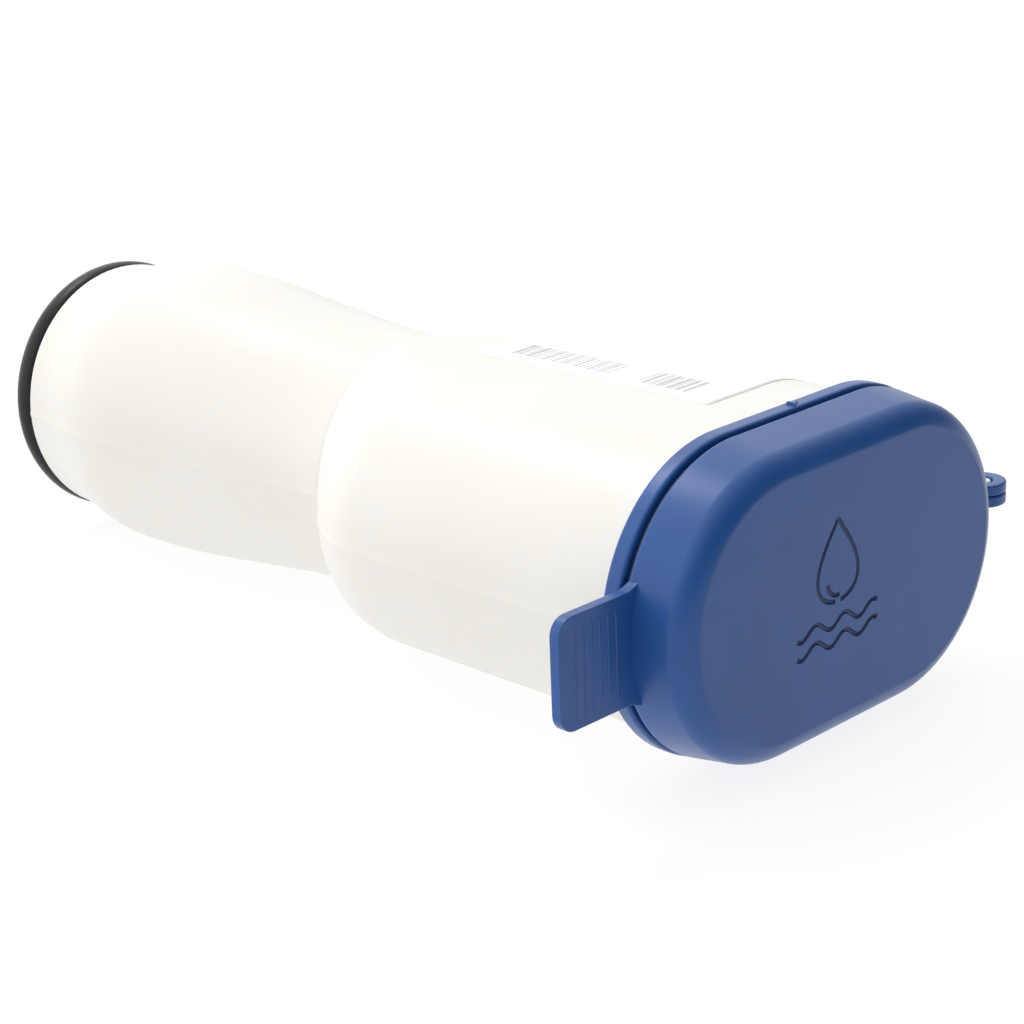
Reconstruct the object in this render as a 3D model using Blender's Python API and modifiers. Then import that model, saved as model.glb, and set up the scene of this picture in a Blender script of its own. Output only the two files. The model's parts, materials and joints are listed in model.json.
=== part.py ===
"""A hand pump water filter for camping, lying on its side.

The white housing is a round grip at the rear and a stadium-shaped tank at the front, where a blue lid swings
on an upright pin. Behind the lid are two hose barbs and the cap over the filter cartridge. The black handle
at the rear end pulls a piston through a barrel on the housing's axis.

Sizes are in millimetres. In the housing's own frame x runs towards the lid's hinge, y from the lid's face to
the rear end, and z up from the axis; place() turns that into world metres, with the origin under the middle.
"""

import math

import bmesh
import bpy
from mathutils import Matrix, Vector

MM = 0.001

# Overall form
LENGTH = 225.4
BULGE_RADIUS = 33.6
BULGE_Y = 194.0
WAIST_RADIUS = 28.35
WAIST_Y = 118.0
REAR_RADIUS = 29.8
TANK_RADIUS = 28.8
TANK_STRAIGHT = 18.5
LOBE_REAR_Y = 118.5
LOBE_FULL_Y = 88.0
LOBE_ROUNDING = 1.18
SPIGOT_OUTER = 25.6
SPIGOT_INNER = 24.0
SPIGOT_LENGTH = 6.0
WALL = 2.2
GAP = 0.3

# Lid, collar and hinge
LID_RADIUS = 31.2
LID_DEPTH = 13.6
LID_DRAFT = 1.2
LID_WALL = 2.2
LID_ROUNDING = 4.8
TAB_REACH = 68.0
TAB_CENTRE_Z = -0.3
TAB_HALF_HEIGHT = 10.8
TAB_THICKNESS = 2.2
FLANGE_RADIUS = 31.6
FLANGE_FRONT_Y = 14.7
FLANGE_REAR_Y = 18.4
NECK_RADIUS = 27.3
NECK_FRONT_Y = 5.2
MOUTH_RADIUS = 24.9
SLEEVE_REAR_Y = 26.0
SHELL_FRONT_Y = FLANGE_REAR_Y + GAP
SHELL_REAR_Y = 219.4
HINGE_X = 63.0
HINGE_Y = 14.2
EYE_RADIUS = 5.0
EYE_HOLE = 2.25
EYE_TOP_Z = 1.2
EYE_SPLIT_Z = -1.2
EYE_BOTTOM_Z = -3.6

# Front deck and hose barbs
DECK_FRONT_Y = SLEEVE_REAR_Y + GAP
DECK_REAR_Y = 29.3
BARB_X = 31.5
BARB_HOLE = 3.7
TUBE_RADIUS = 3.4
TUBE_BORE = 2.2
TUBE_FRONT_Y = 31.3
TUBE_REAR_Y = 100.2

# Cartridge and its bowl
CAP_HOLE = 21.6
CAP_PLUG = 21.3
CAP_REAR_Y = 35.0
BOWL_INNER = 22.8
BOWL_OUTER = 24.6
BOWL_REAR_Y = 96.0
MEDIA_FRONT_Y = 40.3
MEDIA_REAR_Y = 88.0
CERAMIC_OUTER = 19.0
CERAMIC_INNER = 11.0
CORE_OUTER = 4.8
CORE_BORE = 3.4

# Valves
MANIFOLD_FRONT_Y = 97.9
MANIFOLD_REAR_Y = 103.0
BLOCK_FRONT_Y = 104.4
BLOCK_PLATE_REAR_Y = 106.4
BLOCK_REAR_Y = 116.0
CHAMBER_RADIUS = 4.6
INLET_X = -9.0
OUTLET_Z = 11.0
PORT_RADIUS = 2.4

# Pump
BORE = 16.0
BARREL_OUTER = 18.0
BARREL_FRONT_Y = 119.1
BARREL_REAR_Y = 192.0
BULKHEAD_REAR_Y = 196.3
SCREW_CIRCLE = 20.0
ROD_RADIUS = 4.0
ROD_REAR_Y = 202.7
PISTON_FRONT_Y = 124.0
PISTON_REAR_Y = 134.0
CUP_RADIUS = 25.5
CUP_FRONT_Y = 203.0
RING_RADIUS = 30.1
RING_FRONT_Y = SHELL_REAR_Y + GAP

# How finely round forms are drawn
ROUND_STEPS = 24
SMALL_STEPS = 14
DRILL_STEPS = 12
SECTION_POINTS = 36
AXIS_HEIGHT = BULGE_RADIUS

PALETTE = {
    "white_plastic": ((0.86, 0.85, 0.81), 0.35, 0.0),
    "blue_plastic": ((0.055, 0.095, 0.27), 0.35, 0.0),
    "black_rubber": ((0.012, 0.013, 0.013), 0.35, 0.0),
    "black_plastic": ((0.018, 0.019, 0.02), 0.45, 0.0),
    "grey_plastic": ((0.33, 0.35, 0.37), 0.45, 0.0),
    "seal_rubber": ((0.03, 0.03, 0.035), 0.6, 0.0),
    "silicone": ((0.72, 0.75, 0.76), 0.5, 0.0),
    "ceramic": ((0.88, 0.86, 0.8), 0.8, 0.0),
    "carbon": ((0.02, 0.02, 0.02), 0.9, 0.0),
    "foam": ((0.24, 0.27, 0.3), 0.95, 0.0),
    "steel": ((0.62, 0.63, 0.65), 0.25, 1.0),
    "paper": ((0.9, 0.9, 0.9), 0.6, 0.0),
}


def clear_scene():
    for obj in list(bpy.data.objects):
        bpy.data.objects.remove(obj, do_unlink=True)
    for collection in list(bpy.data.collections):
        bpy.data.collections.remove(collection)


def new_collection(name):
    collection = bpy.data.collections.new(name)
    bpy.context.scene.collection.children.link(collection)
    return collection


clear_scene()
PARTS = new_collection("pump_water_filter")
CUTTERS = new_collection("cutters")


def place(x, y, z):
    return Vector((x, y - LENGTH / 2, z + AXIS_HEIGHT)) * MM


def material(name):
    found = bpy.data.materials.get(name)
    if found:
        return found
    colour, roughness, metallic = PALETTE[name]
    found = bpy.data.materials.new(name)
    found.use_nodes = True
    shader = found.node_tree.nodes["Principled BSDF"]
    shader.inputs["Base Color"].default_value = (*colour, 1.0)
    shader.inputs["Roughness"].default_value = roughness
    shader.inputs["Metallic"].default_value = metallic
    found.diffuse_color = (*colour, 1.0)
    return found


def pivot(name, x=0.0, y=0.0, z=0.0):
    """An empty on a joint's axis, the parent of what moves with it."""
    empty = bpy.data.objects.new(name, None)
    empty.empty_display_size = 0.01
    empty.location = place(x, y, z)
    PARTS.objects.link(empty)
    return empty


def add(name, data, finish, where, parent=None, turn=(0.0, 0.0, 0.0)):
    """Link an object at a point of the housing's frame. One with no finish is a cutter or a shape to join."""
    obj = bpy.data.objects.new(name, data)
    obj.location = place(*where)
    obj.rotation_euler = turn
    if finish:
        data.materials.append(material(finish))
        PARTS.objects.link(obj)
    else:
        obj.hide_render = True
        obj.display_type = "WIRE"
        CUTTERS.objects.link(obj)
    if parent:
        obj.parent = parent
        obj.location -= parent.location
    return obj


def smooth(mesh):
    mesh.shade_smooth()
    mesh.set_sharp_from_angle(angle=math.radians(35))


# Shapes


def ring(inner, outer, front, rear):
    return [(inner, rear), (outer, rear), (outer, front), (inner, front)]


def turned(name, finish, profile, x=0.0, z=0.0, parent=None, steps=ROUND_STEPS):
    """A round piece along the housing's axis. Its profile's (radius, y) points run forwards on the outer side."""
    bm = bmesh.new()
    points = [bm.verts.new((radius * MM, 0.0, y * MM)) for radius, y in profile]
    for first, second in zip(points, points[1:]):
        bm.edges.new((first, second))
    if profile[0][0] > 0.0:
        bm.edges.new((points[-1], points[0]))
    mesh = bpy.data.meshes.new(name)
    bm.to_mesh(mesh)
    bm.free()
    obj = add(name, mesh, finish, (x, 0.0, z), parent, (-math.pi / 2, 0.0, 0.0))
    screw = obj.modifiers.new("Turned", "SCREW")
    screw.steps = screw.render_steps = steps
    screw.use_merge_vertices = True
    screw.merge_threshold = 0.00001
    return obj


def cylinder(name, finish, radius, depth, where, parent=None, turn=(0.0, 0.0, 0.0), steps=SMALL_STEPS):
    bm = bmesh.new()
    wide = radius * MM
    bmesh.ops.create_cone(bm, cap_ends=True, segments=steps, radius1=wide, radius2=wide, depth=depth * MM)
    mesh = bpy.data.meshes.new(name)
    bm.to_mesh(mesh)
    bm.free()
    return add(name, mesh, finish, where, parent, turn)


def upright(name, finish, radius, bottom, top, parent=None):
    """A solid cylinder on the lid's hinge axis."""
    return cylinder(name, finish, radius, top - bottom, (HINGE_X, HINGE_Y, (top + bottom) / 2), parent)


def drill(name, radius, front, rear, x, z):
    """A cutter for a round hole along the housing's axis."""
    where = (x, (front + rear) / 2, z)
    return cylinder(name, None, radius, rear - front, where, turn=(math.pi / 2, 0.0, 0.0), steps=DRILL_STEPS)


def block(name, finish, low, high, parent=None, bevel=0.0):
    sides = [(b - a) * MM for a, b in zip(low, high)]
    bm = bmesh.new()
    bmesh.ops.create_cube(bm, size=1.0, matrix=Matrix.Diagonal((*sides, 1.0)))
    mesh = bpy.data.meshes.new(name)
    bm.to_mesh(mesh)
    bm.free()
    obj = add(name, mesh, finish, [(a + b) / 2 for a, b in zip(low, high)], parent)
    if bevel:
        rounding = obj.modifiers.new("Rounding", "BEVEL")
        rounding.width = bevel * MM
        rounding.segments = 2
    return obj


def circle(radius, x=0.0, z=0.0, count=ROUND_STEPS):
    angles = [2 * math.pi * i / count for i in range(count)]
    return [(x + radius * math.cos(a), z + radius * math.sin(a)) for a in angles]


def stadium(radius, straight=TANK_STRAIGHT, count=SECTION_POINTS):
    """Points (x, z) round two half circles whose centres are at x = -straight and x = +straight."""
    angles = [2 * math.pi * (i + 0.5) / count for i in range(count)]
    return [
        (math.copysign(straight, math.cos(a)) + radius * math.cos(a), radius * math.sin(a)) for a in angles
    ]


def plate(name, finish, outline, front, rear, holes=(), parent=None):
    """A flat piece across the housing, made a mesh so that it can be cut."""
    curve = bpy.data.curves.new(name, "CURVE")
    curve.dimensions = "2D"
    curve.fill_mode = "BOTH"
    curve.extrude = (rear - front) / 2 * MM
    for points in (outline, *holes):
        spline = curve.splines.new("POLY")
        spline.points.add(len(points) - 1)
        for point, (x, z) in zip(spline.points, points):
            point.co = (x * MM, z * MM, 0.0, 1.0)
        spline.use_cyclic_u = True
    drawn = add(name + "_outline", curve, None, (0.0, (front + rear) / 2, 0.0))
    graph = bpy.context.evaluated_depsgraph_get()
    mesh = bpy.data.meshes.new_from_object(drawn.evaluated_get(graph))
    bpy.data.objects.remove(drawn)
    bm = bmesh.new()
    bm.from_mesh(mesh)
    bmesh.ops.remove_doubles(bm, verts=bm.verts, dist=0.000001)
    bmesh.ops.recalc_face_normals(bm, faces=bm.faces)
    bm.to_mesh(mesh)
    bm.free()
    return add(name, mesh, finish, (0.0, (front + rear) / 2, 0.0), parent, (math.pi / 2, 0.0, 0.0))


def lofted(name, finish, rows, closed=False, front_cap=False, parent=None, wall=0.0):
    """Stadium sections joined from front to rear. Each row is (y, radius, straight); a closed loft comes back
    along its inner side, and an open one is thickened inwards by its wall."""
    bm = bmesh.new()
    loops = [[bm.verts.new((x * MM, y * MM, z * MM)) for x, z in stadium(r, s)] for y, r, s in rows]
    pairs = list(zip(loops, loops[1:]))
    if closed:
        pairs.append((loops[-1], loops[0]))
    for near, far in pairs:
        for i in range(SECTION_POINTS):
            j = (i + 1) % SECTION_POINTS
            bm.faces.new((near[i], far[i], far[j], near[j]))
    if front_cap:
        bm.faces.new(loops[0])
    mesh = bpy.data.meshes.new(name)
    bm.to_mesh(mesh)
    bm.free()
    smooth(mesh)
    obj = add(name, mesh, finish, (0.0, 0.0, 0.0), parent)
    if wall:
        shell = obj.modifiers.new("Wall", "SOLIDIFY")
        shell.thickness = wall * MM
        shell.offset = -1.0
        shell.use_even_offset = True
    return obj


def coil(name, finish, radius, wire, front, rear, turns, x=0.0, z=0.0, parent=None):
    """A spring along the housing's axis."""
    per_turn = 9
    count = int(turns * per_turn) + 1
    curve = bpy.data.curves.new(name, "CURVE")
    curve.dimensions = "3D"
    curve.bevel_depth = wire * MM
    curve.bevel_resolution = 1
    curve.use_fill_caps = True
    spline = curve.splines.new("POLY")
    spline.points.add(count - 1)
    for i, point in enumerate(spline.points):
        angle = 2 * math.pi * i / per_turn
        along = front + wire + (rear - front - 2 * wire) * i / (count - 1)
        point.co = (radius * math.cos(angle) * MM, along * MM, radius * math.sin(angle) * MM, 1.0)
    return add(name, curve, finish, (x, 0.0, z), parent)


def combine(obj, other, operation, solver="EXACT"):
    step = obj.modifiers.new(operation.title() + " " + other.name, "BOOLEAN")
    step.operation = operation
    step.solver = solver
    step.object = other


def cut(obj, other, solver="EXACT"):
    combine(obj, other, "DIFFERENCE", solver)


def join(obj, other):
    combine(obj, other, "UNION")


# Housing


def body_radius(y):
    """Outer half-height: nearly level along the tank, a waist, the grip's round bulge, then its rear rim."""
    if y <= WAIST_Y:
        share = (WAIST_Y - y) / (WAIST_Y - SHELL_FRONT_Y)
        return WAIST_RADIUS + (TANK_RADIUS - WAIST_RADIUS) * share
    if y <= BULGE_Y:
        swell = math.sin(math.pi / 2 * (y - WAIST_Y) / (BULGE_Y - WAIST_Y)) ** 2
        return WAIST_RADIUS + (BULGE_RADIUS - WAIST_RADIUS) * swell
    fall = math.cos(math.pi / 2 * (y - BULGE_Y) / (SHELL_REAR_Y - BULGE_Y)) ** 2
    return REAR_RADIUS + (BULGE_RADIUS - REAR_RADIUS) * fall


def body_straight(y):
    """How far the section's half circles stand off the axis: full along the tank, none along the grip."""
    along = (y - LOBE_FULL_Y) / (LOBE_REAR_Y - LOBE_FULL_Y)
    if along <= 0.0:
        return TANK_STRAIGHT
    return TANK_STRAIGHT * max(0.0, 1.0 - along**2) ** LOBE_ROUNDING


def tank_stations():
    level = [SHELL_FRONT_Y, 60.0, LOBE_FULL_Y]
    shoulder = [LOBE_FULL_Y + (LOBE_REAR_Y - LOBE_FULL_Y) * s for s in (0.3, 0.55, 0.75, 0.9, 1.0)]
    return level + shoulder


def grip_profile():
    """The round grip: its bulged wall, and the spigot that plugs it into the tank."""
    front = LOBE_REAR_Y + GAP
    rise = [front + (BULGE_Y - front) * i / 5 for i in range(6)]
    fall = [BULGE_Y + (SHELL_REAR_Y - BULGE_Y) * i / 4 for i in range(1, 5)]
    outer = [(body_radius(y), y) for y in reversed(rise + fall)]
    tip = front - SPIGOT_LENGTH
    spigot = [(SPIGOT_OUTER, front), (SPIGOT_OUTER, tip), (SPIGOT_INNER, tip)]
    inner = [(SPIGOT_INNER, front + WALL)] + [(body_radius(y) - WALL, y) for y in rise[1:] + fall]
    return outer + spigot + inner


def make_housing():
    rows = [(y, body_radius(y), body_straight(y)) for y in tank_stations()]
    lofted("tank_shell", "white_plastic", rows, wall=WALL)
    turned("grip_shell", "white_plastic", grip_profile(), steps=SECTION_POINTS)
    make_label()
    turned("rear_liner", "white_plastic", ring(25.9, 27.2, BULKHEAD_REAR_Y + GAP, 219.0))


def make_label():
    """A sticker on the tank's top, bent over its edge."""
    near_edge, arc, arc_steps = 0.0, math.radians(24), 6
    bm = bmesh.new()
    rows = []
    for y in (34.5, LOBE_FULL_Y, 94.0, 100.0):
        radius, straight = body_radius(y) + GAP, body_straight(y)
        points = [(near_edge, radius), ((near_edge + straight) / 2, radius)]
        for i in range(arc_steps + 1):
            angle = arc * i / arc_steps
            points.append((straight + radius * math.sin(angle), radius * math.cos(angle)))
        rows.append([bm.verts.new((x * MM, y * MM, z * MM)) for x, z in points])
    for front, rear in zip(rows, rows[1:]):
        for i in range(len(front) - 1):
            bm.faces.new((front[i], front[i + 1], rear[i + 1], rear[i]))
    mesh = bpy.data.meshes.new("label")
    bm.to_mesh(mesh)
    bm.free()
    sheet = add("label", mesh, "paper", (0.0, 0.0, 0.0)).modifiers.new("Sheet", "SOLIDIFY")
    sheet.thickness = 0.2 * MM
    sheet.offset = 1.0


# Front end


def make_collar():
    profile = [
        (NECK_FRONT_Y, NECK_RADIUS),
        (FLANGE_FRONT_Y, NECK_RADIUS),
        (FLANGE_FRONT_Y, FLANGE_RADIUS),
        (FLANGE_REAR_Y, FLANGE_RADIUS),
        (FLANGE_REAR_Y, TANK_RADIUS - WALL - GAP),
        (SLEEVE_REAR_Y, TANK_RADIUS - WALL - GAP),
        (SLEEVE_REAR_Y, MOUTH_RADIUS),
        (NECK_FRONT_Y, MOUTH_RADIUS),
    ]
    rows = [(y, radius, TANK_STRAIGHT) for y, radius in profile]
    collar = lofted("front_collar", "blue_plastic", rows, closed=True)
    arm_low = (TANK_STRAIGHT + FLANGE_RADIUS - 1.5, FLANGE_FRONT_Y + 0.2, EYE_BOTTOM_Z)
    arm_high = (HINGE_X - 1.0, FLANGE_REAR_Y - 0.2, EYE_SPLIT_Z - 0.15)
    join(collar, block("collar_arm", None, arm_low, arm_high))
    join(collar, upright("collar_eye", None, EYE_RADIUS, EYE_BOTTOM_Z, EYE_SPLIT_Z - 0.15))
    cut(collar, upright("collar_eye_hole", None, EYE_HOLE, EYE_BOTTOM_Z - 5.0, EYE_TOP_Z + 5.0))
    seal = [(y, radius, TANK_STRAIGHT) for radius, y in reversed(ring(27.9, 30.4, 13.9, 14.4))]
    lofted("lid_seal", "seal_rubber", seal, closed=True)
    upright("hinge_pin", "steel", EYE_HOLE - GAP, EYE_BOTTOM_Z + 0.2, EYE_TOP_Z - 0.2)


def tab_outline():
    """The pull tab: rounded outer corners, a slight flare at the lid, and a root inside the lid's wall."""
    corner, flare, root_radius = 3.5, 1.6, LID_RADIUS - LID_WALL / 2
    half = []
    for share in (0.25, 0.5, 0.75, 1.0):
        z = (TAB_HALF_HEIGHT + flare) * share
        half.append((-TANK_STRAIGHT - math.sqrt(root_radius**2 - z**2), z))
    flare_x = half[-1][0]
    half += [(flare_x - 2.8, TAB_HALF_HEIGHT + 0.5), (flare_x - 5.0, TAB_HALF_HEIGHT)]
    for i in range(5):
        angle = math.pi / 2 * i / 4
        x = -TAB_REACH + corner - corner * math.sin(angle)
        half.append((x, TAB_HALF_HEIGHT - corner + corner * math.cos(angle)))
    whole = half + [(x, -z) for x, z in reversed(half)]
    return [(x, z + TAB_CENTRE_Z) for x, z in whole]


def make_lid():
    swing = pivot("lid_pivot", HINGE_X, HINGE_Y)
    rows = []
    for i in range(6):
        angle = math.pi / 2 * i / 5
        inset = LID_DRAFT + LID_ROUNDING * (1.0 - math.sin(angle))
        rows.append((LID_ROUNDING * (1.0 - math.cos(angle)), LID_RADIUS - inset, TANK_STRAIGHT))
    rows.append((LID_DEPTH, LID_RADIUS, TANK_STRAIGHT))
    lid = lofted("lid", "blue_plastic", rows, front_cap=True, parent=swing, wall=LID_WALL)
    join(lid, plate("lid_tab", None, tab_outline(), LID_DEPTH - TAB_THICKNESS, LID_DEPTH))
    arm_low = (TANK_STRAIGHT + LID_RADIUS - 1.5, LID_DEPTH - 2.4, EYE_SPLIT_Z + 0.15)
    arm_high = (HINGE_X - 1.0, LID_DEPTH, EYE_TOP_Z)
    join(lid, block("lid_arm", None, arm_low, arm_high))
    join(lid, upright("lid_eye", None, EYE_RADIUS, EYE_SPLIT_Z + 0.15, EYE_TOP_Z))
    cut(lid, upright("lid_eye_hole", None, EYE_HOLE, EYE_BOTTOM_Z - 5.0, EYE_TOP_Z + 5.0))


def barb_profile():
    """A hose barb: three ridges, a flange against the deck and a shank through it."""
    flange_rear, flange_front, flange = DECK_FRONT_Y - GAP, 23.5, 5.5
    points = [(1.6, 31.0), (3.4, 31.0), (3.4, flange_rear)]
    points += [(flange, flange_rear), (flange, flange_front), (2.6, flange_front)]
    for ridge in (19.0, 15.0, 11.0):
        points += [(2.6, ridge), (3.4, ridge), (2.6, ridge - 3.4)]
    return points + [(2.4, 7.4), (1.6, 7.4)]


def make_deck():
    sides = [circle(BARB_HOLE, x, count=SMALL_STEPS) for x in (-BARB_X, BARB_X)]
    plate("front_deck", "white_plastic", stadium(26.2), DECK_FRONT_Y, DECK_REAR_Y, [circle(CAP_HOLE), *sides])
    for name, x in (("intake", -BARB_X), ("outlet", BARB_X)):
        turned(name + "_barb", "grey_plastic", barb_profile(), x=x, steps=SMALL_STEPS)
        tube = ring(TUBE_BORE, TUBE_RADIUS, TUBE_FRONT_Y, TUBE_REAR_Y)
        turned(name + "_tube", "silicone", tube, x=x, steps=SMALL_STEPS)
    dust_cap = [(0.0, 6.0), (0.0, 4.9), (4.9, 4.9), (4.9, 17.5), (3.7, 17.5), (3.7, 6.0)]
    turned("outlet_dust_cap", "blue_plastic", list(reversed(dust_cap)), x=BARB_X, steps=SMALL_STEPS)


# Filter cartridge


def make_cartridge_cap():
    turn = pivot("cartridge_cap_pivot", 0.0, DECK_FRONT_Y)
    profile = [
        (0.0, CAP_REAR_Y),
        (CAP_PLUG, CAP_REAR_Y),
        (CAP_PLUG, 33.6),
        (20.2, 33.6),
        (20.2, 31.4),
        (CAP_PLUG, 31.4),
        (CAP_PLUG, DECK_FRONT_Y - GAP),
        (23.2, DECK_FRONT_Y - GAP),
        (23.2, 23.4),
        (0.0, 23.4),
    ]
    cap = turned("cartridge_cap", "grey_plastic", profile, parent=turn)
    join(cap, block("cap_bar", None, (-17.0, 17.5, -3.0), (17.0, 24.0, 3.0), bevel=1.2))
    turned("cap_seal", "seal_rubber", ring(20.5, 22.5, 31.7, 33.3), parent=turn)


def make_cartridge():
    turned("bowl_front_seal", "seal_rubber", ring(22.9, 24.5, 29.6, 30.9))
    turned("filter_bowl", "white_plastic", ring(BOWL_INNER, BOWL_OUTER, 31.2, BOWL_REAR_Y))
    turned("bowl_rear_seal", "seal_rubber", ring(22.9, 24.5, 96.3, 97.6))
    turned("ceramic_element", "ceramic", ring(CERAMIC_INNER, CERAMIC_OUTER, MEDIA_FRONT_Y, MEDIA_REAR_Y))
    carbon = ring(CORE_OUTER + GAP, CERAMIC_INNER - GAP, MEDIA_FRONT_Y, MEDIA_REAR_Y)
    turned("carbon_core", "carbon", carbon, steps=SMALL_STEPS)
    turned("foam_prefilter", "foam", ring(CERAMIC_OUTER + GAP, 20.9, MEDIA_FRONT_Y + 2.3, MEDIA_REAR_Y - 2.3))
    lip = CERAMIC_OUTER + GAP
    front_cap = [(0.0, 40.0), (lip, 40.0), (lip, 42.0), (20.6, 42.0), (20.6, 36.0), (0.0, 36.0)]
    turned("cartridge_front_cap", "blue_plastic", front_cap)
    bore = CORE_OUTER + GAP
    rear_cap = [(bore, 92.5), (20.6, 92.5), (20.6, 86.3), (lip, 86.3), (lip, 88.3), (bore, 88.3)]
    turned("cartridge_rear_cap", "blue_plastic", rear_cap)
    pipe = ring(CORE_BORE, CORE_OUTER, MEDIA_FRONT_Y, TUBE_REAR_Y)
    core = turned("core_tube", "grey_plastic", pipe, steps=SMALL_STEPS)
    for i, y in enumerate((48.0, 60.0, 72.0)):
        cut(core, block(f"core_slot_{i + 1}", None, (-10.0, y, -1.2), (10.0, y + 7.0, 1.2)))
    turned("nipple_seal", "seal_rubber", ring(CORE_OUTER + GAP, 7.6, 95.4, 97.4), steps=SMALL_STEPS)


# Valves


def make_valves():
    ports = [circle(BARB_HOLE, -BARB_X, count=SMALL_STEPS), circle(BARB_HOLE, BARB_X, count=SMALL_STEPS)]
    ports += [circle(CORE_OUTER + 0.4, count=SMALL_STEPS), circle(PORT_RADIUS, 0.0, OUTLET_Z, DRILL_STEPS)]
    outline = stadium(24.5, 13.5)
    manifold = plate("valve_manifold", "grey_plastic", outline, MANIFOLD_FRONT_Y, MANIFOLD_REAR_Y, ports)
    channels = (("inlet_channel", -BARB_X, INLET_X + PORT_RADIUS), ("outlet_channel", 0.0, BARB_X))
    for name, low_x, high_x in channels:
        low = (low_x, MANIFOLD_REAR_Y - 2.4, -PORT_RADIUS)
        cut(manifold, block(name, None, low, (high_x, MANIFOLD_REAR_Y + 2.0, PORT_RADIUS)))
    flow = [circle(PORT_RADIUS, INLET_X, 0.0, DRILL_STEPS), circle(PORT_RADIUS, 0.0, OUTLET_Z, DRILL_STEPS)]
    gasket_front, gasket_rear = MANIFOLD_REAR_Y + GAP, BLOCK_FRONT_Y - GAP
    plate("manifold_gasket", "seal_rubber", stadium(24.6, 12.5), gasket_front, gasket_rear, flow)
    chambers = [circle(CHAMBER_RADIUS, x, z, SMALL_STEPS) for x, z in ((INLET_X, 0.0), (0.0, OUTLET_Z))]
    valve_block = plate("valve_block", "grey_plastic", circle(23.4), BLOCK_FRONT_Y, BLOCK_REAR_Y, chambers)
    wings = plate("valve_block_wings", None, stadium(24.4, 11.0), BLOCK_FRONT_Y, BLOCK_PLATE_REAR_Y, chambers)
    join(valve_block, wings)
    plate("barrel_head", "grey_plastic", circle(19.5), BLOCK_REAR_Y + GAP, BARREL_FRONT_Y - GAP, flow)

    inlet = pivot("inlet_valve_slide", INLET_X, 107.0)
    turned("inlet_seat", "seal_rubber", ring(2.2, 4.3, 104.7, 106.7), INLET_X, steps=SMALL_STEPS)
    poppet = [(0.0, 111.0), (1.2, 111.0), (1.2, 108.2), (3.8, 108.2), (3.8, 107.0), (0.0, 107.0)]
    turned("inlet_poppet", "black_plastic", poppet, INLET_X, parent=inlet, steps=SMALL_STEPS)
    coil("inlet_spring", "steel", 2.6, 0.3, 108.5, BLOCK_REAR_Y, 4, INLET_X)

    outlet = pivot("outlet_valve_slide", 0.0, 113.1, OUTLET_Z)
    turned("outlet_seat", "seal_rubber", ring(2.2, 4.3, 113.4, 115.7), 0.0, OUTLET_Z, steps=SMALL_STEPS)
    poppet = [(0.0, 113.1), (3.8, 113.1), (3.8, 111.9), (1.2, 111.9), (1.2, 109.1), (0.0, 109.1)]
    turned("outlet_poppet", "black_plastic", poppet, 0.0, OUTLET_Z, parent=outlet, steps=SMALL_STEPS)
    coil("outlet_spring", "steel", 2.6, 0.3, BLOCK_FRONT_Y, 111.6, 4, 0.0, OUTLET_Z)


# Pump


def screw_places():
    for i in range(3):
        angle = math.radians(90 + 120 * i)
        yield i + 1, SCREW_CIRCLE * math.cos(angle), SCREW_CIRCLE * math.sin(angle)


def make_pump_barrel():
    barrel_profile = [
        (BORE, BARREL_REAR_Y),
        (22.6, BARREL_REAR_Y),
        (22.6, 188.0),
        (BARREL_OUTER, 188.0),
        (BARREL_OUTER, BARREL_FRONT_Y),
        (BORE, BARREL_FRONT_Y),
    ]
    barrel = turned("pump_barrel", "grey_plastic", barrel_profile)
    screw_holes = [circle(1.8, x, z, DRILL_STEPS) for _, x, z in screw_places()]
    holes = [circle(8.0), *screw_holes]
    plate("rear_bulkhead", "grey_plastic", circle(27.2), BARREL_REAR_Y + GAP, BULKHEAD_REAR_Y, holes)
    for number, x, z in screw_places():
        cut(barrel, drill(f"barrel_screw_hole_{number}", 1.8, 180.0, 200.0, x, z), "MANIFOLD")
        head = [(0.0, 199.0), (3.0, 199.0), (3.0, 196.6), (1.5, 196.6), (1.5, 186.0), (0.0, 186.0)]
        turned(f"bulkhead_screw_{number}", "steel", head, x, z, steps=DRILL_STEPS)
    gland = [(4.3, 199.2), (10.0, 199.2), (10.0, 196.6), (7.7, 196.6), (7.7, 191.0), (4.3, 191.0)]
    turned("rod_gland", "black_plastic", gland, steps=SMALL_STEPS)
    turned("rod_wiper", "seal_rubber", ring(4.3, 7.5, 199.5, 201.5), steps=SMALL_STEPS)


def make_piston():
    slide = pivot("pump_slide_pivot", 0.0, PISTON_FRONT_Y)
    rod = [
        (0.0, 190.0),
        (1.9, 190.0),
        (1.9, ROD_REAR_Y),
        (ROD_RADIUS, ROD_REAR_Y),
        (ROD_RADIUS, PISTON_REAR_Y + GAP),
        (2.3, PISTON_REAR_Y + GAP),
        (2.3, 120.9),
        (0.0, 120.9),
    ]
    turned("piston_rod", "steel", rod, parent=slide, steps=SMALL_STEPS)
    piston = [(2.6, PISTON_REAR_Y), (15.4, PISTON_REAR_Y)]
    for rear in (132.6, 128.2):
        piston += [(15.4, rear), (13.4, rear), (13.4, rear - 2.4), (15.4, rear - 2.4)]
    piston += [(15.4, PISTON_FRONT_Y), (2.6, PISTON_FRONT_Y)]
    turned("piston", "black_plastic", piston, parent=slide)
    for name, rear in (("rear", 132.3), ("front", 127.9)):
        turned("piston_seal_" + name, "seal_rubber", ring(13.7, 15.75, rear - 1.8, rear), parent=slide)
    turned("piston_nut", "steel", ring(3.0, 5.0, 121.2, 123.7), parent=slide, steps=6)


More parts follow.
